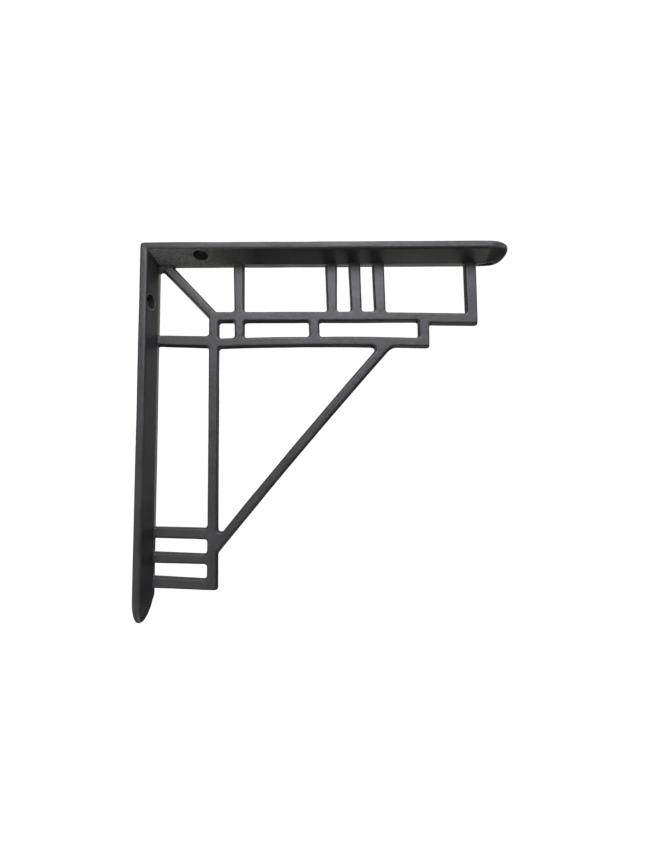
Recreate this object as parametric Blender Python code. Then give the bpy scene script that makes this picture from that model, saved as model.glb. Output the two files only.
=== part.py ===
"""Cast iron shelf bracket: two crowned flanges at a right angle, braced by a flat lattice.

The frame: +X points out of the wall, +Y runs across the flanges, +Z is up. The origin is the
centre of the face that lies against the wall.
"""
import math
from collections import namedtuple

import bmesh
import bpy
from mathutils import Vector

MM = 0.001

# The two legs
SHELF_LEG = 202.8 * MM
WALL_LEG = 202.0 * MM
FLANGE_WIDTH = 25.4 * MM
EDGE_THICKNESS = 3.8 * MM
SHELF_CROWN = 7.0 * MM
WALL_CROWN = 6.4 * MM
CROWN_FLAT = 0.8 * MM
EDGE_SOFTENING = 0.5 * MM
SOFTENING_BULGE = 0.3
EDGE_LEAN = 0.2 * MM
OUTER_CORNER_RADIUS = 1.6 * MM
VALLEY_RADIUS = 1.2 * MM
NOSE_BLUNTNESS = 0.65
TIP_THINNING = 2.4 * MM
TOP = WALL_LEG / 2
HALF_WIDTH = FLANGE_WIDTH / 2

# The lattice plate, with its front face on the middle of the flanges
WEB_THICKNESS = 5.8 * MM
WEB_BEHIND_MIDDLE = WEB_THICKNESS / 2
ROOT_DEPTH = 2.0 * MM
SHELF_WINDOW_DEPTH = 5.5 * MM
WALL_WINDOW_DEPTH = 5.2 * MM
PARTING_DRAFT = 0.6 * MM
FACE_EDGE_INSET = 0.8 * MM
FACE_EDGE_DEPTH = 0.3 * MM
INSIDE_CORNER_RADIUS = 1.3 * MM
FLANGE_CORNER_RADIUS = 1.2 * MM
OUTSIDE_CORNER_RADIUS = 1.4 * MM
FLARE_RADIUS = 7.0 * MM
KNEE_RADIUS = 1.5 * MM
ACUTE_RADIUS = 1.7 * MM
BRACE_HEAD_RADIUS = 1.8 * MM
TIGHT_RADIUS = 0.8 * MM

# The countersunk screw holes
BORE_RADIUS = 2.4 * MM
COUNTERSINK_RADIUS = 4.2 * MM
INNER_HOLE_FROM_CORNER = 31.3 * MM
INNER_HOLE_FROM_MIDDLE = 8.1 * MM
END_HOLE_FROM_TIP = 9.5 * MM
END_HOLE_FROM_MIDDLE = 8.4 * MM
HOLE_OVERRUN = 2.0 * MM

# Fineness of the round stretches
END_SEGMENTS = 28
CORNER_SEGMENTS = 5
BOW_SEGMENTS = 8
HOLE_SEGMENTS = 32
SMOOTH_BELOW_DEGREES = 30

# The paint
PAINT_COLOUR = (0.055, 0.055, 0.06, 1.0)
PAINT_ROUGHNESS = 0.45

# A bar runs from (x, drop) to (x, drop): x is out from the wall, drop is down from the shelf.
# Its width goes from the first to the second value, and its middle is bowed to one side.
Bar = namedtuple("Bar", "start end width end_width bow")


def bar(x0, drop0, x1, drop1, width, end_width=None, bow=0.0):
    end_width = width if end_width is None else end_width
    start = Vector((x0, TOP / MM - drop0)) * MM
    end = Vector((x1, TOP / MM - drop1)) * MM
    return Bar(start, end, width * MM, end_width * MM, bow * MM)


BARS = {
    "corner_brace": bar(7.7, 5.3, 37.3, 36.9, 6.2, 5.5),
    "first_post": bar(51.0, 6.5, 51.5, 49.1, 6.2, 5.5),
    "triple_post_1": bar(103.2, 6.5, 103.3, 35.0, 6.7, 5.8),
    "triple_post_2": bar(116.4, 6.5, 117.0, 35.0, 7.0, 6.3),
    "triple_post_3": bar(129.8, 6.5, 130.4, 35.0, 7.0, 6.5),
    "end_post": bar(182.3, 6.5, 182.1, 41.1, 7.0, 6.7),
    "upper_rail": bar(37.5, 37.1, 147.5, 37.6, 5.9, 6.0),
    "upper_rail_end": bar(133.4, 38.4, 185.9, 39.4, 6.9, 6.7),
    "slot_divider": bar(93.1, 39.0, 93.3, 51.2, 6.1, 5.9),
    "slot_end": bar(154.9, 39.0, 154.6, 55.2, 6.8, 6.5),
    "lower_rail_stub": bar(7.6, 50.4, 34.5, 51.2, 6.2, 6.6),
    "lower_rail": bar(40.5, 52.1, 157.7, 52.8, 5.6, 5.8, 0.9),
    "stile": bar(37.2, 39.0, 37.5, 186.5, 5.7, 5.9),
    "long_diagonal": bar(131.9, 55.8, 39.9, 163.4, 5.8, 5.4, -0.7),
    "low_rung_1": bar(7.6, 155.5, 37.5, 156.7, 6.1, 6.3),
    "low_rung_2": bar(7.6, 168.7, 37.5, 170.1, 5.9, 5.6),
    "low_rung_3": bar(7.6, 181.6, 37.5, 183.4, 6.5, 5.9),
    "wall_crown": bar(WALL_WINDOW_DEPTH / MM, 0.0, WALL_WINDOW_DEPTH / MM, 200.0, 0.0),
    "shelf_crown": bar(0.0, SHELF_WINDOW_DEPTH / MM, 200.0, SHELF_WINDOW_DEPTH / MM, 0.0),
    "wall_root": bar(ROOT_DEPTH / MM, 0.0, ROOT_DEPTH / MM, 200.0, 0.0),
    "shelf_root": bar(0.0, ROOT_DEPTH / MM, 200.0, ROOT_DEPTH / MM, 0.0),
}

# Each window of the lattice, by the bars around it
WINDOWS = [
    ["shelf_crown", "first_post", "upper_rail", "corner_brace"],
    ["shelf_crown", "triple_post_1", "upper_rail", "first_post"],
    ["shelf_crown", "triple_post_2", "upper_rail", "triple_post_1"],
    ["shelf_crown", "triple_post_3", "upper_rail", "triple_post_2"],
    ["shelf_crown", "end_post", "upper_rail_end", "triple_post_3"],
    ["upper_rail", "first_post", "lower_rail", "stile"],
    ["upper_rail", "slot_divider", "lower_rail", "first_post"],
    ["upper_rail", "slot_end", "lower_rail", "slot_divider"],
    ["wall_crown", "corner_brace", "stile", "lower_rail_stub"],
    ["wall_crown", "lower_rail_stub", "stile", "low_rung_1"],
    ["wall_crown", "low_rung_1", "stile", "low_rung_2"],
    ["wall_crown", "low_rung_2", "stile", "low_rung_3"],
    ["stile", "lower_rail", "long_diagonal"],
]

# The stepped outer edge of the lattice, and a point that all of it faces
OUTLINE = [
    "wall_root", "low_rung_3", "stile", "long_diagonal", "lower_rail",
    "slot_end", "upper_rail_end", "end_post", "shelf_root",
]
OUTSIDE_POINT = Vector((200.0 * MM, -100.0 * MM))

SPECIAL_RADII = {
    frozenset(("wall_crown", "corner_brace")): BRACE_HEAD_RADIUS,
    frozenset(("shelf_crown", "corner_brace")): BRACE_HEAD_RADIUS,
    frozenset(("long_diagonal", "lower_rail", "outside")): FLARE_RADIUS,
    frozenset(("stile", "long_diagonal", "outside")): KNEE_RADIUS,
    frozenset(("stile", "long_diagonal")): ACUTE_RADIUS,
    frozenset(("long_diagonal", "lower_rail")): ACUTE_RADIUS,
    frozenset(("upper_rail", "slot_end")): TIGHT_RADIUS,
    frozenset(("slot_end", "lower_rail")): TIGHT_RADIUS,
    frozenset(("end_post", "upper_rail_end")): TIGHT_RADIUS,
    frozenset(("slot_end", "upper_rail_end", "outside")): TIGHT_RADIUS,
}


def remove_everything():
    for item in list(bpy.data.objects):
        bpy.data.objects.remove(item, do_unlink=True)


def cross(a, b):
    return a.x * b.y - a.y * b.x


def side_point(edge, share, toward, inset):
    """A point on the side of a bar that faces one way, and the side's direction there."""
    run = edge.end - edge.start
    normal = Vector((-run.y, run.x)).normalized()
    middle = edge.start + run * share
    sign = 1.0 if (toward - middle).dot(normal) > 0 else -1.0
    lean = sign * (edge.end_width - edge.width) / 2
    half = edge.width / 2 + (edge.end_width - edge.width) / 2 * share
    offset = edge.bow * 4 * share * (1 - share)
    slope = edge.bow * 4 * (1 - 2 * share)
    kept = max(half - inset, 0.0) if edge.width else 0.0
    point = middle + normal * (sign * kept + offset)
    direction = run + normal * (lean + slope)
    return point, direction.normalized()


def share_along(edge, point):
    run = edge.end - edge.start
    return (point - edge.start).dot(run) / run.length_squared


def corner_of(first, second, toward, inset):
    """Where the sides of two bars meet, found by following both curves a few times."""
    shares = [0.5, 0.5]
    for _ in range(6):
        a, along_a = side_point(first, shares[0], toward, inset)
        b, along_b = side_point(second, shares[1], toward, inset)
        meeting = a + along_a * (cross(b - a, along_b) / cross(along_a, along_b))
        shares = [share_along(first, meeting), share_along(second, meeting)]
    return meeting


def corner_radius(names, outside):
    key = frozenset(names + (["outside"] if outside else []))
    if key in SPECIAL_RADII:
        return SPECIAL_RADII[key]
    if any(name.endswith("_root") for name in names):
        return 0.0
    if any(name.endswith("_crown") for name in names):
        return FLANGE_CORNER_RADIUS
    return OUTSIDE_CORNER_RADIUS if outside else INSIDE_CORNER_RADIUS


def rounded_loop(names, inset, toward=None):
    """The closed loop of a window, or of the outline, with its corners rounded."""
    edges = [BARS[name] for name in names]
    count = len(edges)
    outside = toward is not None
    if not outside:
        middles = [(edge.start + edge.end) / 2 for edge in edges]
        toward = sum(middles, Vector((0, 0))) / count
        for _ in range(2):
            corners = [corner_of(edges[i - 1], edges[i], toward, 0.0) for i in range(count)]
            toward = sum(corners, Vector((0, 0))) / count
    corners = [corner_of(edges[i - 1], edges[i], toward, inset) for i in range(count)]
    turning = sum(cross(corners[i - 1], corners[i]) for i in range(count))
    turning = 1.0 if turning > 0 else -1.0
    arcs = []
    for i in range(count):
        here = corners[i]
        back = (corners[i - 1] - here).normalized()
        ahead = (corners[(i + 1) % count] - here).normalized()
        convex = cross(-back, ahead) * turning > 0
        grow = inset if (not outside) == convex else -inset
        radius = corner_radius([names[i - 1], names[i]], outside)
        arcs.append(fillet(here, back, ahead, radius + grow if radius else 0.0))
    loop = []
    for i in range(count):
        loop += arcs[i]
        if edges[i].bow:
            loop += bowed_points(edges[i], arcs[i][-1], arcs[(i + 1) % count][0], toward, inset)
    return loop if turning > 0 else loop[::-1]


def fillet(corner, back, ahead, radius):
    """An arc of the given radius that touches both lines through a corner."""
    if radius <= 0.0:
        return [corner]
    half_angle = back.angle(ahead) / 2
    reach = radius / math.tan(half_angle)
    centre = corner + (back + ahead).normalized() * (radius / math.sin(half_angle))
    first = corner + back * reach - centre
    last = corner + ahead * reach - centre
    sweep = first.angle_signed(last)
    points = []
    for step in range(CORNER_SEGMENTS + 1):
        angle = -sweep * step / CORNER_SEGMENTS
        turned = Vector((
            first.x * math.cos(angle) - first.y * math.sin(angle),
            first.x * math.sin(angle) + first.y * math.cos(angle),
        ))
        points.append(centre + turned)
    return points


def bowed_points(edge, start, end, toward, inset):
    """Points along the bowed side of a bar, between its two corners."""
    first, last = share_along(edge, start), share_along(edge, end)
    points = []
    for step in range(1, BOW_SEGMENTS):
        share = first + (last - first) * step / BOW_SEGMENTS
        points.append(side_point(edge, share, toward, inset)[0])
    return points


def new_object(name, bm):
    bmesh.ops.recalc_face_normals(bm, faces=bm.faces)
    mesh = bpy.data.meshes.new(name)
    bm.to_mesh(mesh)
    bm.free()
    thing = bpy.data.objects.new(name, mesh)
    bpy.context.scene.collection.objects.link(thing)
    return thing


def hide_as_tool(thing):
    thing.hide_render = True
    thing.display_type = "WIRE"
    return thing


def stacked(name, outlines, layers):
    """A closed solid for each outline, lofted through layers of (place across, inset)."""
    bm = bmesh.new()
    for names in outlines:
        toward = OUTSIDE_POINT if names is OUTLINE else None
        rings = []
        for y, inset in layers:
            points = rounded_loop(names, inset, toward)
            rings.append([bm.verts.new((p.x, y, p.y)) for p in points])
        for lower, upper in zip(rings, rings[1:]):
            bridge(bm, lower, upper)
        bm.faces.new(rings[0])
        bm.faces.new(rings[-1])
    return new_object(name, bm)


def make_lattice():
    """The plate of bars: drafted both ways from its parting plane, with softened face edges."""
    half = WEB_THICKNESS / 2
    profile = [(0.0, 0.0), (half - FACE_EDGE_DEPTH, PARTING_DRAFT), (half, FACE_EDGE_INSET)]
    plate = stacked("lattice_tool", [OUTLINE], both_sides(profile))
    slope = (FACE_EDGE_INSET - PARTING_DRAFT) / FACE_EDGE_DEPTH
    profile.append((half + FACE_EDGE_DEPTH, FACE_EDGE_INSET + slope * FACE_EDGE_DEPTH))
    windows = stacked("window_tools", WINDOWS, both_sides(profile))
    combine(plate, windows, "DIFFERENCE")
    return plate


def both_sides(profile):
    """Layers from the back of the parting plane to its front, of (place across, inset)."""
    layers = profile[:0:-1]
    mirrored = [(-y, inset) for y, inset in layers] + profile
    return [(y + WEB_BEHIND_MIDDLE, inset) for y, inset in mirrored]


def bridge(bm, lower, upper):
    count = len(lower)
    for i in range(count):
        j = (i + 1) % count
        bm.faces.new((lower[i], lower[j], upper[j], upper[i]))


def thinned(skin, half_width, share):
    """The depth of a ring where it goes round an end: the inner face falls away to the tip."""
    if skin < EDGE_THICKNESS / 2:
        return skin
    return skin - TIP_THINNING * share * half_width / HALF_WIDTH


def nose_place(angle):
    """How far out and how far back the nose is at one angle, a little squarer behind."""
    power = NOSE_BLUNTNESS if math.cos(angle) > 0 else 1.0
    back = math.copysign(abs(math.cos(angle)) ** power, math.cos(angle))
    return math.sin(angle) ** power, back


def flange_ring(bm, half_width, wall_skin, shelf_skin, radius):
    """One closed ring round both legs, at one distance from the middle and one depth in each."""
    shelf_end = SHELF_LEG - HALF_WIDTH
    wall_end = WALL_LEG - HALF_WIDTH
    elbow = []
    for step in range(CORNER_SEGMENTS + 1):
        angle = math.pi / 2 * step / CORNER_SEGMENTS
        x = wall_skin + radius * (1 - math.sin(angle))
        drop = shelf_skin + radius * (1 - math.cos(angle))
        elbow.append((x, drop))
    near = [(x, -half_width, drop) for x, drop in elbow]
    far = [(x, half_width, drop) for x, drop in reversed(elbow)]
    foot = []
    nose = []
    for step in range(END_SEGMENTS + 1):
        angle = math.pi * step / END_SEGMENTS
        across, along = math.cos(angle), math.sin(angle)
        skin = thinned(wall_skin, half_width, along)
        foot.append((skin, -half_width * across, wall_end + half_width * along))
        skin = thinned(shelf_skin, half_width, along * (1 - across) / 2)
        out, back = nose_place(angle)
        nose.append((shelf_end + half_width * out, half_width * back, skin))
    parts = [near, foot, far, nose]
    return [[bm.verts.new((x, y, TOP - drop)) for x, y, drop in points] for points in parts]


def close_ring(bm, ring):
    """Faces across the inside of a ring: both flats and the turn between them."""
    near, foot, far, nose = ring
    bm.faces.new([near[-1]] + foot + [far[0]])
    bm.faces.new([far[-1]] + nose + [near[0]])
    back = far[::-1]
    for i in range(CORNER_SEGMENTS):
        bm.faces.new((near[i], near[i + 1], back[i + 1], back[i]))


def surface_depth(crown, from_middle):
    """How thick a leg is at one distance from its middle, on the slope beside the crown."""
    down_slope = (from_middle - CROWN_FLAT / 2) / (HALF_WIDTH - CROWN_FLAT / 2)
    return crown + (EDGE_THICKNESS - crown) * down_slope


def flange_profile(crown):
    """Half of a leg's section as (half width, depth): outer face, leaning edge, slope, crown."""
    soft = EDGE_SOFTENING
    bulge = soft * SOFTENING_BULGE
    rim = HALF_WIDTH - EDGE_LEAN
    return [
        (HALF_WIDTH - soft, 0.0),
        (HALF_WIDTH - bulge, bulge),
        (HALF_WIDTH, soft),
        (rim, EDGE_THICKNESS - soft),
        (rim - bulge, EDGE_THICKNESS - bulge),
        (rim - soft, surface_depth(crown, rim - soft)),
        (CROWN_FLAT / 2, crown),
    ]


def make_flanges():
    """Both legs as one solid, thin at the edges and crowned along the middle."""
    bm = bmesh.new()
    rings = []
    for wall, shelf in zip(flange_profile(WALL_CROWN), flange_profile(SHELF_CROWN)):
        half_width, wall_skin = wall
        shelf_skin = shelf[1]
        outer = wall_skin < EDGE_THICKNESS / 2
        radius = OUTER_CORNER_RADIUS - wall_skin if outer else VALLEY_RADIUS
        rings.append(flange_ring(bm, half_width, wall_skin, shelf_skin, radius))
    for lower, upper in zip(rings, rings[1:]):
        bridge(bm, sum(lower, []), sum(upper, []))
    close_ring(bm, rings[0])
    close_ring(bm, rings[-1])
    return new_object("bracket", bm)


def screw_hole(bm, place, axis, y):
    """A bore with a cone at its mouth, as a closed tool turned about the flange's normal."""
    surface = surface_depth(SHELF_CROWN if axis == "shelf" else WALL_CROWN, abs(y))
    seat = surface - (COUNTERSINK_RADIUS - BORE_RADIUS)
    profile = [
        (0.0, -HOLE_OVERRUN),
        (BORE_RADIUS, -HOLE_OVERRUN),
        (BORE_RADIUS, seat),
        (COUNTERSINK_RADIUS, surface),
        (COUNTERSINK_RADIUS + HOLE_OVERRUN, surface + HOLE_OVERRUN),
        (0.0, surface + HOLE_OVERRUN),
    ]
    rows = []
    for radius, height in profile:
        steps = HOLE_SEGMENTS if radius else 1
        row = []
        for step in range(steps):
            angle = 2 * math.pi * step / HOLE_SEGMENTS
            side, across = radius * math.cos(angle), radius * math.sin(angle)
            if axis == "shelf":
                row.append(bm.verts.new((place + side, y + across, TOP - height)))
            else:
                row.append(bm.verts.new((height, y + across, TOP - place + side)))
        rows.append(row)
    for lower, upper in zip(rows, rows[1:]):
        for i in range(HOLE_SEGMENTS):
            j = (i + 1) % HOLE_SEGMENTS
            if len(lower) == 1:
                bm.faces.new((lower[0], upper[j], upper[i]))
            elif len(upper) == 1:
                bm.faces.new((lower[i], lower[j], upper[0]))
            else:
                bm.faces.new((lower[i], lower[j], upper[j], upper[i]))


def make_screw_holes():
    """Two holes in each leg, on opposite sides of the lattice."""
    bm = bmesh.new()
    near_y, far_y = -INNER_HOLE_FROM_MIDDLE, END_HOLE_FROM_MIDDLE
    screw_hole(bm, INNER_HOLE_FROM_CORNER, "shelf", near_y)
    screw_hole(bm, SHELF_LEG - END_HOLE_FROM_TIP, "shelf", far_y)
    screw_hole(bm, INNER_HOLE_FROM_CORNER, "wall", near_y)
    screw_hole(bm, WALL_LEG - END_HOLE_FROM_TIP, "wall", far_y)
    return new_object("screw_hole_tools", bm)


def satin_black():
    material = bpy.data.materials.new("satin_black_iron")
    material.use_nodes = True
    shader = material.node_tree.nodes["Principled BSDF"]
    shader.inputs["Base Color"].default_value = PAINT_COLOUR
    shader.inputs["Roughness"].default_value = PAINT_ROUGHNESS
    shader.inputs["Metallic"].default_value = 0.0
    return material


def combine(target, tool, operation):
    modifier = target.modifiers.new(tool.name, "BOOLEAN")
    modifier.operation = operation
    modifier.solver = "EXACT"
    modifier.object = hide_as_tool(tool)


def main():
    remove_everything()
    bracket = make_flanges()
    combine(bracket, make_lattice(), "UNION")
    combine(bracket, make_screw_holes(), "DIFFERENCE")
    bracket.data.materials.append(satin_black())
    bracket.data.shade_smooth()
    bracket.data.set_sharp_from_angle(angle=math.radians(SMOOTH_BELOW_DEGREES))


main()
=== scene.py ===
# %% [markdown]
# # A cast iron shelf bracket
#
# This lesson dresses one small piece of ironwork: a bracket that holds up a shelf. It was poured
# in a sand mould as one piece, cleaned by hand and painted satin black. Its two flanges meet at a
# right angle, and a flat lattice of bars fills the corner between them.
#
# The exact solid comes first. It says how big the bracket is and where each bar runs. What it
# lacks is everything that makes iron look like iron: rounded arrises, soft fillets where bars run
# into each other, the slight waves of a sand mould, and a skin of paint.

# %% Load the exact solid
import math

import bmesh
import bpy
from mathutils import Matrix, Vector, noise


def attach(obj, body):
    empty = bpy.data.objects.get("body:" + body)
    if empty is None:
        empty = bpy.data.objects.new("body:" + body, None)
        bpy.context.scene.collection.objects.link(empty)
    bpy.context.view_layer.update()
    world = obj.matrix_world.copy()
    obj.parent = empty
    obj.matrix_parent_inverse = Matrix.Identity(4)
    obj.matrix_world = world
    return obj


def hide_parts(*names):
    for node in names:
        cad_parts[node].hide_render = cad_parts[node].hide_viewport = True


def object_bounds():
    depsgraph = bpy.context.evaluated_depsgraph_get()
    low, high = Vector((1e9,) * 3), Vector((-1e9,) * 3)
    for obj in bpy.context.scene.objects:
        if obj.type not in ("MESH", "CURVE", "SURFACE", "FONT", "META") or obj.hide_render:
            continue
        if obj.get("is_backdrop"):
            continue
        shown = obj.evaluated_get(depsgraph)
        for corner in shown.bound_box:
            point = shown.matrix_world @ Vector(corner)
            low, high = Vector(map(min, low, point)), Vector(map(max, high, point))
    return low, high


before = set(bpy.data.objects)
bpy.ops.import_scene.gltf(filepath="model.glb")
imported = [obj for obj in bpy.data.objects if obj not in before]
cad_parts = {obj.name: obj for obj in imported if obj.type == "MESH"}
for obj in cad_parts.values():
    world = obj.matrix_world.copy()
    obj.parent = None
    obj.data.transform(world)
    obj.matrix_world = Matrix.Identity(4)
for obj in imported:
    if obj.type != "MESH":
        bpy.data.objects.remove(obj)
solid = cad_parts["bracket"]
cad_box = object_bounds()
MM = 0.001

print("solid:", len(solid.data.polygons), "triangles")

# %% [markdown]
# ## The camera
#
# The bracket was photographed from its side, from a little under a third of a metre away. So
# close, the flanges show their inner faces, and the far ends seem to lean in. The camera sits at
# that same place. Its lens is short, because the picture is wide for so short a distance.

# %% Place the camera
CAMERA_PLACE = (0.09387, -0.28761, -0.03232)
CAMERA_TURN = (95.878, 0.714, -0.847)
CAMERA_LENS = 21.98

camera_data = bpy.data.cameras.new("camera")
camera_data.sensor_fit = "VERTICAL"
camera_data.sensor_height = 36.0
camera_data.lens = CAMERA_LENS
camera_data.clip_start = 0.01
camera = bpy.data.objects.new("camera", camera_data)
camera.location = CAMERA_PLACE
camera.rotation_euler = [math.radians(angle) for angle in CAMERA_TURN]
bpy.context.scene.collection.objects.link(camera)
bpy.context.scene.camera = camera

print("camera:", CAMERA_LENS, "mm lens,", round(-CAMERA_PLACE[1] / MM), "mm from the bracket")

# %% [markdown]
# ## The casting
#
# A casting has no sharp edges. Iron doesn't fill the last corner of a sand mould, and a pattern
# maker rounds every inner corner so that the sand doesn't break there. Bevelling hundreds of
# edges one by one would leave a seam at each crossing. A remesh does it all at once: it wraps the
# solid in a skin of small even squares, which can then be smoothed like clay.
#
# The solid's mesh is loose triangles, so its copy is first welded into one closed skin.

# %% Copy and weld the solid
WELD_DISTANCE = 0.001 * MM


def welded_copy(source, name):
    bm = bmesh.new()
    bm.from_mesh(source.data)
    bmesh.ops.remove_doubles(bm, verts=bm.verts, dist=WELD_DISTANCE)
    open_edges = sum(1 for edge in bm.edges if len(edge.link_faces) != 2)
    mesh = bpy.data.meshes.new(name)
    bm.to_mesh(mesh)
    bm.free()
    piece = bpy.data.objects.new(name, mesh)
    bpy.context.scene.collection.objects.link(piece)
    print(name, "welded,", open_edges, "open edges")
    return piece


casting = welded_copy(solid, "casting")

# %% [markdown]
# The squares are under half a millimetre wide, finer than any edge of the bracket. A remesh cuts
# the sharp edges a little, so a shrinkwrap then pulls every point back onto the solid. Modifiers
# do the work, and their result is then kept as the piece's own mesh.

# %% Wrap it in a fine skin
SKIN_SQUARE = 0.34 * MM


def keep_modifiers(piece):
    graph = bpy.context.evaluated_depsgraph_get()
    mesh = bpy.data.meshes.new_from_object(piece.evaluated_get(graph))
    piece.modifiers.clear()
    piece.data = mesh


skin = casting.modifiers.new("skin", "REMESH")
skin.mode = "VOXEL"
skin.voxel_size = SKIN_SQUARE
pull = casting.modifiers.new("pull", "SHRINKWRAP")
pull.target = solid
pull.wrap_method = "NEAREST_SURFACEPOINT"
keep_modifiers(casting)

print("skin:", len(casting.data.polygons), "squares")

# %% [markdown]
# Two kinds of smoothing follow. A light one takes the edge off every arris. A stronger one works
# only near inner corners, and rolls them into narrow fillets, as a pattern maker does with a
# bead of wax. An inner corner is an edge whose two faces lean towards each other, which Blender
# gives as a negative angle.
#
# The squares of the skin follow an upright grid, so a slanted bar can come out with small steps
# along its arrises. Its points are smoothed a few more times than the others.

# %% Roll the inner corners into fillets
ARRIS_PASSES = 3
FILLET_PASSES = 5
FILLET_RINGS = 2
INNER_ANGLE = math.radians(-12)
SLANT_PASSES = 4
SLANT_RINGS = 6
SLANT = 0.3


def with_rings(verts, rings):
    """These points and the rings of points around them."""
    found = set(verts)
    for _ in range(rings):
        found |= {edge.other_vert(v) for v in found for edge in v.link_edges}
    return list(found)


def smooth(bm, verts, passes):
    for _ in range(passes):
        bmesh.ops.smooth_vert(
            bm, verts=verts, factor=0.5, use_axis_x=True, use_axis_y=True, use_axis_z=True
        )


bm = bmesh.new()
bm.from_mesh(casting.data)
bm.normal_update()
inner_edges = [edge for edge in bm.edges if edge.calc_face_angle_signed(0.0) < INNER_ANGLE]
corner_verts = with_rings((v for edge in inner_edges for v in edge.verts), FILLET_RINGS)
slanted = (v for v in bm.verts if min(abs(v.normal.x), abs(v.normal.z)) > SLANT)
slanted_verts = with_rings(slanted, SLANT_RINGS)
smooth(bm, corner_verts, FILLET_PASSES)
smooth(bm, slanted_verts, SLANT_PASSES)
smooth(bm, bm.verts[:], ARRIS_PASSES)

print("fillets:", len(corner_verts), "of", len(bm.verts), "points moved")
print("slanted bars:", len(slanted_verts), "points moved")

# %% [markdown]
# The bars of a sand casting are never quite straight. Two layers of noise move the skin in and
# out: a slow wave as long as a finger is wide, and small lumps of a few millimetres. The coat of
# paint then adds its own thickness all over, which also fills the sharpest inner corners.

# %% Add the waves of the mould and the coat of paint
WAVE_LENGTH = 22.0 * MM
WAVE_HEIGHT = 0.12 * MM
LUMP_LENGTH = 3.2 * MM
LUMP_HEIGHT = 0.04 * MM
PAINT_THICKNESS = 0.12 * MM


def raised(point):
    wave = noise.noise(point / WAVE_LENGTH) * WAVE_HEIGHT
    lump = noise.noise(point / LUMP_LENGTH) * LUMP_HEIGHT
    return PAINT_THICKNESS + wave + lump


bm.normal_update()
moves = [v.normal * raised(v.co) for v in bm.verts]
for vert, move in zip(bm.verts, moves):
    vert.co += move
bm.to_mesh(casting.data)
bm.free()

print("largest move:", round(max(move.length for move in moves) / MM, 3), "mm")

# %% [markdown]
# The fine squares make more faces than the piece needs. Decimation merges those on the
# flats and keeps those on the curves. The faces are then shaded smooth.
#
# The backs of both flanges are ground flat, to lie against the wall and the board. So points
# that the waves or the paint moved past the solid's own box are brought back to it.

# %% Thin the mesh and hold it to size
MOST_TRIANGLES = 190000
CAD_LOW, CAD_HIGH = cad_box

thin = casting.modifiers.new("thin", "DECIMATE")
thin.ratio = MOST_TRIANGLES / (2 * len(casting.data.polygons))
keep_modifiers(casting)
for vert in casting.data.vertices:
    vert.co = [min(max(v, low), high) for v, low, high in zip(vert.co, CAD_LOW, CAD_HIGH)]
casting.data.shade_smooth()

print("casting:", sum(len(p.vertices) - 2 for p in casting.data.polygons), "triangles")

# %% [markdown]
# Four screw holes go through the flanges, each with a cone for the screw's head. The material gives
# their insides painted shade, nearly black, and their lips a thin painted highlight, so it needs to
# know where they are. Each point of the mesh gets a number for it, 1 inside a hole and 0 elsewhere.
# A point is inside when it lies on the cone or the bore, sunk under the flange's face.

# %% Mark the insides of the screw holes
BORE_RADIUS = 2.4 * MM
CONE_DEPTH = 1.8 * MM
CONE_SKIN = 0.35 * MM
LIP_DEPTH = 0.25 * MM
LIP_RISE = 0.1 * MM
BACK_SKIN = 0.4 * MM
HALF_WIDTH = 12.7 * MM
EDGE_THICKNESS = 3.8 * MM
SHELF_CROWN = 7.0 * MM
WALL_CROWN = 6.4 * MM
INNER_HOLE = 31.3 * MM
INNER_HOLE_SIDE = -8.1 * MM
END_HOLE = 9.5 * MM
END_HOLE_SIDE = 8.4 * MM
TOP = CAD_HIGH[2]

# Each hole's place along its leg, measured from the corner, and its place across it
shelf_holes = [(INNER_HOLE, INNER_HOLE_SIDE), (CAD_HIGH[0] - END_HOLE, END_HOLE_SIDE)]
wall_holes = [(INNER_HOLE, INNER_HOLE_SIDE), (TOP - CAD_LOW[2] - END_HOLE, END_HOLE_SIDE)]


def flange_depth(crown, across):
    """How thick a flange is at one distance from its middle: it thins towards both edges."""
    return crown + (EDGE_THICKNESS - crown) * abs(across) / HALF_WIDTH


def inside_hole(point):
    """How far a point is inside the mouth of its nearest hole, from 0 to 1."""
    out, drop = point.x, TOP - point.z
    if out > drop:
        leg_holes, crown, along, depth = shelf_holes, SHELF_CROWN, out, drop
    else:
        leg_holes, crown, along, depth = wall_holes, WALL_CROWN, drop, out
    place, side = min(leg_holes, key=lambda hole: abs(along - hole[0]))
    cone_start = flange_depth(crown, side) - CONE_DEPTH
    hole_radius = BORE_RADIUS + max(depth - cone_start, 0.0) + CONE_SKIN
    if depth < BACK_SKIN or math.hypot(along - place, point.y - side) > hole_radius:
        return 0.0
    sunk = flange_depth(crown, point.y) + LIP_RISE - depth
    return min(max(sunk / LIP_DEPTH, 0.0), 1.0)


hollow = casting.data.attributes.new("hollow", "FLOAT", "POINT")
hollow.data.foreach_set("value", [inside_hole(v.co) for v in casting.data.vertices])

print("points in the holes:", sum(1 for item in hollow.data if item.value > 0.5))

# %% [markdown]
# ## The paint
#
# The finish is a satin black that was sprayed straight onto the cast skin. From close by it isn't
# smooth: the sand's grain shows through as fine pits, over a faint orange peel from the spray.
# Both are patterns of height, so one node group makes them and the material turns them into
# bumps. The group's inputs set how large and how strong each pattern is.

# %% A group for the grain of cast iron
def node_group(name, inputs, outputs):
    group = bpy.data.node_groups.new(name, "ShaderNodeTree")
    for socket_name, socket_type, value in inputs:
        socket = group.interface.new_socket(socket_name, in_out="INPUT", socket_type=socket_type)
        if value is not None:
            socket.default_value = value
    for socket_name, socket_type in outputs:
        group.interface.new_socket(socket_name, in_out="OUTPUT", socket_type=socket_type)
    return group, group.nodes.new("NodeGroupInput"), group.nodes.new("NodeGroupOutput")


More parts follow.
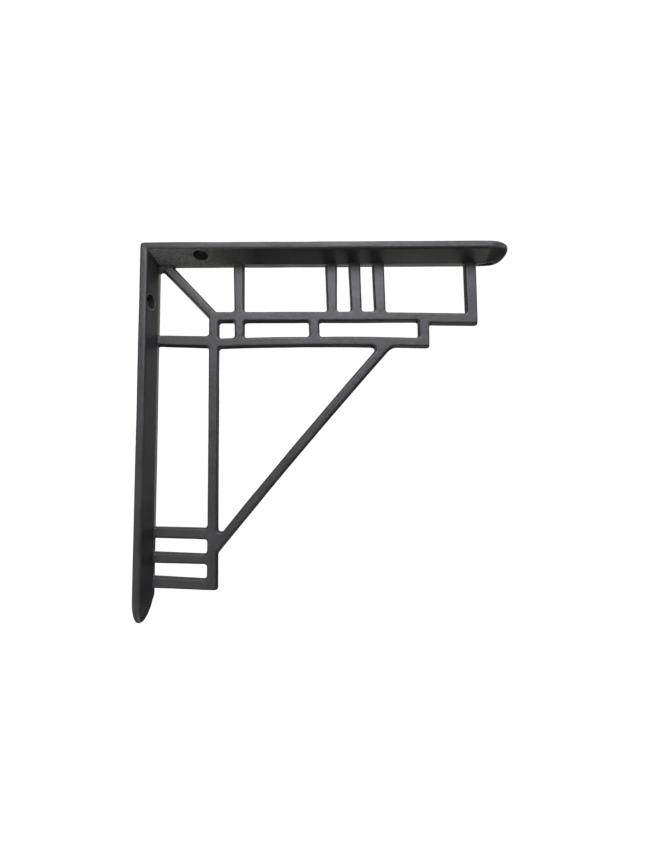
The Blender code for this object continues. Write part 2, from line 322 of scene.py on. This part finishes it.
def math_node(tree, operation, first, second):
    node = tree.nodes.new("ShaderNodeMath")
    node.operation = operation
    for socket, value in zip(node.inputs, (first, second)):
        if isinstance(value, (int, float)):
            socket.default_value = value
        else:
            tree.links.new(value, socket)
    return node.outputs[0]


def noise_node(tree, vector, scale, detail, roughness):
    node = tree.nodes.new("ShaderNodeTexNoise")
    node.inputs["Detail"].default_value = detail
    node.inputs["Roughness"].default_value = roughness
    tree.links.new(vector, node.inputs["Vector"])
    if isinstance(scale, (int, float)):
        node.inputs["Scale"].default_value = scale
    else:
        tree.links.new(scale, node.inputs["Scale"])
    return node.outputs["Fac"]


grain_group, grain_in, grain_out = node_group(
    "cast_grain",
    [
        ("Vector", "NodeSocketVector", None),
        ("Pit Scale", "NodeSocketFloat", 900.0),
        ("Pit Strength", "NodeSocketFloat", 0.7),
        ("Peel Scale", "NodeSocketFloat", 300.0),
        ("Peel Strength", "NodeSocketFloat", 0.5),
    ],
    [("Height", "NodeSocketFloat"), ("Pits", "NodeSocketFloat")],
)
pits = noise_node(grain_group, grain_in.outputs["Vector"], grain_in.outputs["Pit Scale"], 3.0, 0.6)
peel = noise_node(grain_group, grain_in.outputs["Vector"], grain_in.outputs["Peel Scale"], 1.0, 0.5)
pit_height = math_node(grain_group, "MULTIPLY", pits, grain_in.outputs["Pit Strength"])
peel_height = math_node(grain_group, "MULTIPLY", peel, grain_in.outputs["Peel Strength"])
height = math_node(grain_group, "ADD", pit_height, peel_height)
grain_group.links.new(height, grain_out.inputs["Height"])
grain_group.links.new(pits, grain_out.inputs["Pits"])

print("group:", grain_group.name, "with", len(grain_group.nodes), "nodes")

# %% [markdown]
# The material is built up in layers: first the sprayed coat, then painted shade along the flange
# edges and a painted highlight at the tips, then rubbed arrises with a painted highlight on the
# tips' arrises, a patch of dry spray, and last the screw holes, with painted shade inside and a
# painted highlight on their lips. Each step mixes one more colour over the last with a mask. Two
# helpers do
# that: one turns a number into a mask from 0 to 1, and one mixes two colours by a mask.

# %% Start the material
def map_range(tree, value, low, high, to_low, to_high):
    node = tree.nodes.new("ShaderNodeMapRange")
    node.inputs["From Min"].default_value = low
    node.inputs["From Max"].default_value = high
    node.inputs["To Min"].default_value = to_low
    node.inputs["To Max"].default_value = to_high
    tree.links.new(value, node.inputs["Value"])
    return node.outputs["Result"]


def mix_colour(tree, factor, first, second):
    node = tree.nodes.new("ShaderNodeMix")
    node.data_type = "RGBA"
    tree.links.new(factor, node.inputs["Factor"])
    for name, value in (("A", first), ("B", second)):
        socket = next(s for s in node.inputs if s.name == name and s.type == "RGBA")
        if isinstance(value, tuple):
            socket.default_value = value
        else:
            tree.links.new(value, socket)
    return next(s for s in node.outputs if s.type == "RGBA")


paint = bpy.data.materials.new("satin_black_paint")
paint.use_nodes = True
tree = paint.node_tree
shader = tree.nodes["Principled BSDF"]
coordinates = tree.nodes.new("ShaderNodeTexCoord")
place = coordinates.outputs["Object"]
split_place = tree.nodes.new("ShaderNodeSeparateXYZ")
tree.links.new(place, split_place.inputs["Vector"])
out_from_wall, sideways, upwards = split_place.outputs

print("material:", paint.name)

# %% [markdown]
# The coat is nearly black and a little blue. It is patchy, because a spray gun passes over some
# places twice: where the coat is thin it is a little greyer.

# %% The sprayed coat
THIN_PAINT = (0.036, 0.035, 0.038, 1.0)
THICK_PAINT = (0.022, 0.022, 0.024, 1.0)
PATCH_SCALE = 60.0
THIN_SPOTS = (0.35, 0.65)

patches = noise_node(tree, place, PATCH_SCALE, 4.0, 0.6)
thin_places = map_range(tree, patches, *THIN_SPOTS, 0.0, 1.0)
sprayed_colour = mix_colour(tree, thin_places, THICK_PAINT, THIN_PAINT)

print("sprayed coat:", len(tree.nodes), "nodes so far")

# %% [markdown]
# The edge faces of the flanges are darkened as painted shade, most of all on the shelf flange.
# Only the two round tips are different. There the edge faces get a painted highlight: they are
# lightened where they turn away from the lamps. The masks come from the distance from the flange's
# middle and from the place along it.

# %% Painted shade on the flange edges and painted highlight on the tips
# Painted shade: the colour that darkens the flanges' edge faces
EDGE_SHADE = (0.014, 0.014, 0.016, 1.0)
# Painted highlight: the colour that lightens the edge faces at the round tips
TIP_EDGE_HIGHLIGHT = (0.055, 0.055, 0.060, 1.0)
EDGE_BAND = (0.0120, 0.0124)
SHELF_RIM = (0.05, 0.09)
WALL_RIM_STRENGTH = 0.25
SHELF_TIP = (0.188, 0.199)
WALL_TIP = (-0.088, -0.097)

from_middle = math_node(tree, "ABSOLUTE", sideways, 0.0)
on_edge = map_range(tree, from_middle, *EDGE_BAND, 0.0, 1.0)
shelf_tip = map_range(tree, out_from_wall, *SHELF_TIP, 0.0, 1.0)
wall_tip = map_range(tree, upwards, *WALL_TIP, 0.0, 1.0)
at_tip = math_node(tree, "MAXIMUM", shelf_tip, wall_tip)
rim_strength = map_range(tree, upwards, *SHELF_RIM, WALL_RIM_STRENGTH, 1.0)
painted_edge_shade = math_node(tree, "MULTIPLY", on_edge, rim_strength)
painted_tip_edge_highlight = math_node(tree, "MULTIPLY", on_edge, at_tip)
# Mix in the painted shade along the edges, then the painted highlight at the tips
edged_colour = mix_colour(tree, painted_edge_shade, sprayed_colour, EDGE_SHADE)
edged_colour = mix_colour(tree, painted_tip_edge_highlight, edged_colour, TIP_EDGE_HIGHLIGHT)

print("edges:", len(tree.nodes), "nodes so far")

# %% [markdown]
# Handling polishes the arrises, so they are mixed a little paler. At the round tips the arrises get
# a painted highlight, much paler still. Blender's pointiness finds the arrises, because it is high
# where the mesh bends outwards. The grain breaks up the rubbed lines, since the pits stay dark.

# %% The rubbed arrises and the painted highlight on the tips' arrises
RUBBED_PAINT = (0.075, 0.075, 0.082, 1.0)
# Painted highlight: the colour for the arrises at the round tips
TIP_ARRIS_HIGHLIGHT = (0.17, 0.17, 0.175, 1.0)
ARRIS = (0.53, 0.60)
TIP_ARRIS = (0.503, 0.53)
PITS = (0.3, 0.7)
LEAST_RUB = 0.2

grain = tree.nodes.new("ShaderNodeGroup")
grain.node_tree = grain_group
tree.links.new(place, grain.inputs["Vector"])
grain.inputs["Pit Scale"].default_value = 900.0
grain.inputs["Pit Strength"].default_value = 0.7
grain.inputs["Peel Scale"].default_value = 300.0
grain.inputs["Peel Strength"].default_value = 0.5

pointiness = tree.nodes.new("ShaderNodeNewGeometry").outputs["Pointiness"]
arris = map_range(tree, pointiness, *ARRIS, 0.0, 1.0)
between_pits = map_range(tree, grain.outputs["Pits"], *PITS, LEAST_RUB, 1.0)
rubbed = math_node(tree, "MULTIPLY", arris, between_pits)
rubbed_and_highlit_colour = mix_colour(tree, rubbed, edged_colour, RUBBED_PAINT)
# Painted highlight on the arrises at the round tips
tip_arris = map_range(tree, pointiness, *TIP_ARRIS, 0.0, 1.0)
painted_tip_arris_highlight = math_node(tree, "MULTIPLY", at_tip, tip_arris)
rubbed_and_highlit_colour = mix_colour(tree, painted_tip_arris_highlight, rubbed_and_highlit_colour, TIP_ARRIS_HIGHLIGHT)

print("wear:", len(tree.nodes), "nodes so far")

# %% [markdown]
# Under the shelf flange, next to the corner, the spray arrived half dry. It couldn't flow out
# there, so it is a dull brownish grey and feels like fine sandpaper. That patch fades away along
# the flange, and keeps to the faces that look down.

# %% The dry patch by the corner
DRY_PAINT = (0.33, 0.325, 0.31, 1.0)
DRY_REACH = (0.020, 0.062)
DRY_HEIGHT = (TOP - 0.012, TOP - 0.009)
DOWNWARDS = (-0.5, -0.9)
SPECKLE_SCALE = 1100.0
SPECKLE = (0.38, 0.62)
LEAST_SPECKLE = 0.35

split_normal = tree.nodes.new("ShaderNodeSeparateXYZ")
tree.links.new(coordinates.outputs["Normal"], split_normal.inputs["Vector"])
near_corner = map_range(tree, out_from_wall, *DRY_REACH, 1.0, 0.0)
looks_down = map_range(tree, split_normal.outputs["Z"], *DOWNWARDS, 0.0, 1.0)
high_up = map_range(tree, upwards, *DRY_HEIGHT, 0.0, 1.0)
under_shelf = math_node(tree, "MULTIPLY", near_corner, looks_down)
under_shelf = math_node(tree, "MULTIPLY", under_shelf, high_up)
specks = noise_node(tree, place, SPECKLE_SCALE, 2.0, 0.7)
dry_specks = map_range(tree, specks, *SPECKLE, LEAST_SPECKLE, 1.0)
dry = math_node(tree, "MULTIPLY", under_shelf, dry_specks)
dusty_colour = mix_colour(tree, dry, rubbed_and_highlit_colour, DRY_PAINT)

print("dry patch:", len(tree.nodes), "nodes so far")

# %% [markdown]
# The screw holes use the number that was stored on the mesh. It climbs from 0 to 1 across a
# hole's lip. Multiplied by one minus itself and then by four, it gives a thin line that is
# brightest in the middle of the lip: a painted highlight there. Inside the hole the colour goes
# nearly black, as painted shade.

# %% The screw holes: painted shade inside, painted highlight on the lip
# Painted highlight: the colour of the thin line on each hole's lip
LIP_HIGHLIGHT = (0.25, 0.25, 0.26, 1.0)
# Painted shade: the nearly black colour inside the holes
HOLE_SHADE = (0.006, 0.006, 0.006, 1.0)

hollow_node = tree.nodes.new("ShaderNodeAttribute")
hollow_node.attribute_name = "hollow"
in_hole = hollow_node.outputs["Fac"]
beside_lip = math_node(tree, "SUBTRACT", 1.0, in_hole)
on_lip = math_node(tree, "MULTIPLY", in_hole, beside_lip)
painted_lip_highlight = math_node(tree, "MULTIPLY", on_lip, 4.0)
lip_highlight_colour = mix_colour(tree, painted_lip_highlight, dusty_colour, LIP_HIGHLIGHT)
# The painted shade fills the inside of each hole
final_colour = mix_colour(tree, in_hole, lip_highlight_colour, HOLE_SHADE)
tree.links.new(final_colour, shader.inputs["Base Color"])

print("screw holes:", len(tree.nodes), "nodes so far")

# %% [markdown]
# The gloss is satin and follows the patches of the coat. The dry patch and the holes are dull.
# The grain goes in last, as bumps a tenth of a millimetre high.

# %% Gloss and grain
SATIN = (0.36, 0.46)
SATIN_PATCHES = (0.3, 0.7)
DULLER = 0.45
GRAIN_STRENGTH = 0.8
GRAIN_HEIGHT = 0.12 * MM

satin = map_range(tree, patches, *SATIN_PATCHES, *SATIN)
dulled = math_node(tree, "MAXIMUM", under_shelf, in_hole)
dull_part = math_node(tree, "MULTIPLY", dulled, DULLER)
roughness = math_node(tree, "ADD", satin, dull_part)
tree.links.new(roughness, shader.inputs["Roughness"])

bump = tree.nodes.new("ShaderNodeBump")
bump.inputs["Strength"].default_value = GRAIN_STRENGTH
bump.inputs["Distance"].default_value = GRAIN_HEIGHT
tree.links.new(grain.outputs["Height"], bump.inputs["Height"])
tree.links.new(bump.outputs["Normal"], shader.inputs["Normal"])
shader.inputs["Specular IOR Level"].default_value = 0.5

casting.data.materials.clear()
casting.data.materials.append(paint)

print("finished material:", paint.name, "with", len(tree.nodes), "nodes")

# %% [markdown]
# The finished casting now takes the solid's place. The solid stays for weight and collision, and
# only its look is hidden.

# %% Put the casting in the solid's place
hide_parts("bracket")
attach(casting, "root")

# %% [markdown]
# ## The studio
#
# The photograph was taken on white, with soft light from the front and above and little from
# below. The bracket hangs at shelf height, so the pale floor lies far under it. The floor looks
# white to the camera, but sends little light back up, and the shelf flange stays dark below.

# %% The floor
FLOOR_DROP = 1.6
FLOOR_RADIUS = 4.0
FLOOR_GREY = (0.12, 0.12, 0.12, 1.0)
SEEN_WHITE = 1.05
PLAIN_WHITE = (1.0, 1.0, 1.0, 1.0)


def seen_and_lit(tree, seen, lit):
    """Joins what the camera sees with what lights the bracket."""
    mix = tree.nodes.new("ShaderNodeMixShader")
    path = tree.nodes.new("ShaderNodeLightPath")
    tree.links.new(path.outputs["Is Camera Ray"], mix.inputs["Fac"])
    tree.links.new(lit, mix.inputs[1])
    tree.links.new(seen, mix.inputs[2])
    return mix.outputs["Shader"]


bm = bmesh.new()
bmesh.ops.create_circle(bm, cap_ends=True, segments=64, radius=FLOOR_RADIUS)
bmesh.ops.translate(bm, verts=bm.verts, vec=(0.1, 0.0, -FLOOR_DROP))
floor_mesh = bpy.data.meshes.new("floor")
bm.to_mesh(floor_mesh)
bm.free()
floor = bpy.data.objects.new("floor", floor_mesh)
bpy.context.scene.collection.objects.link(floor)

pale = bpy.data.materials.new("pale_floor")
pale.use_nodes = True
tree = pale.node_tree
tree.nodes.clear()
white = tree.nodes.new("ShaderNodeEmission")
white.inputs["Color"].default_value = PLAIN_WHITE
white.inputs["Strength"].default_value = SEEN_WHITE
matt = tree.nodes.new("ShaderNodeBsdfDiffuse")
matt.inputs["Color"].default_value = FLOOR_GREY
surface = tree.nodes.new("ShaderNodeOutputMaterial")
tree.links.new(
    seen_and_lit(tree, white.outputs[0], matt.outputs[0]), surface.inputs["Surface"]
)
floor.data.materials.append(pale)
floor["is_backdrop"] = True

print("floor:", FLOOR_DROP, "m below the bracket's middle")

# %% [markdown]
# The room around is a plain white sky to the camera. As light it is dim, because a photographer
# keeps the room dark around the lamps: black paint is like a mirror, and would show all of it.

# %% The sky
SKY_LIGHT = 0.02

world = bpy.data.worlds.new("studio")
bpy.context.scene.world = world
world.use_nodes = True
tree = world.node_tree
tree.nodes.clear()
seen_sky = tree.nodes.new("ShaderNodeBackground")
seen_sky.inputs["Color"].default_value = PLAIN_WHITE
seen_sky.inputs["Strength"].default_value = SEEN_WHITE
lit_sky = tree.nodes.new("ShaderNodeBackground")
lit_sky.inputs["Color"].default_value = PLAIN_WHITE
lit_sky.inputs["Strength"].default_value = SKY_LIGHT
sky = tree.nodes.new("ShaderNodeOutputWorld")
tree.links.new(
    seen_and_lit(tree, seen_sky.outputs[0], lit_sky.outputs[0]), sky.inputs["Surface"]
)

print("sky: strength", SKY_LIGHT, "as light and", SEEN_WHITE, "to the camera")

# %% [markdown]
# Square soft boxes stand round the bracket, all at one distance and turned to its middle. The key
# light is in front and above, and the others are weaker. Those behind the bracket put the thin
# bright lines on the far sides of the bars.

# %% The lights
MIDDLE = Vector((0.09, 0.0, 0.0))
LIGHT_DISTANCE = 1.4
SMALL, LARGE = 0.8, 1.8
KEY_TINT = (0.97, 0.96, 1.04)
FILL_TINT = (1.04, 1.0, 0.94)


def soft_box(name, direction, size, power, tint):
    """A square lamp that the camera doesn't see, at one direction from the bracket's middle."""
    towards = Vector(direction).normalized()
    data = bpy.data.lights.new(name, "AREA")
    data.shape = "SQUARE"
    data.size = size
    data.energy = power
    data.color = tint
    light = bpy.data.objects.new(name, data)
    light.location = MIDDLE + towards * LIGHT_DISTANCE
    light.rotation_euler = (-towards).to_track_quat("-Z", "Y").to_euler()
    light.visible_camera = False
    bpy.context.scene.collection.objects.link(light)
    print(name, "soft box:", power, "W")


soft_box("key", (0.0, -0.8, 0.6), SMALL, 16.9, KEY_TINT)
soft_box("right", (0.5, -0.7, 0.5), SMALL, 4.6, KEY_TINT)
soft_box("left", (-0.5, -0.87, 0.0), SMALL, 1.6, FILL_TINT)
soft_box("low left", (-0.5, -0.7, -0.5), LARGE, 6.3, FILL_TINT)
soft_box("far right", (1.0, -0.1, 0.0), SMALL, 2.2, KEY_TINT)
soft_box("under", (0.4, -0.15, -0.92), LARGE, 1.35, FILL_TINT)
soft_box("back right", (0.7, 0.6, 0.2), SMALL, 0.6, KEY_TINT)
soft_box("back left", (-0.7, 0.7, 0.0), SMALL, 2.0, FILL_TINT)
soft_box("back low", (0.3, 0.55, -0.78), SMALL, 1.9, FILL_TINT)
soft_box("behind", (0.0, 1.0, 0.5), LARGE, 5.0, FILL_TINT)

bpy.context.scene.view_settings.view_transform = "Standard"

# %% [markdown]
#
# The dressed bracket must be as big as the exact solid. Both boxes are printed, one under the
# other.

# %% Print both boxes and finish
dressed_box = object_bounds()

for low, high in (cad_box, dressed_box):
    print("size:", [round((b - a) / MM, 2) for a, b in zip(low, high)], "mm")
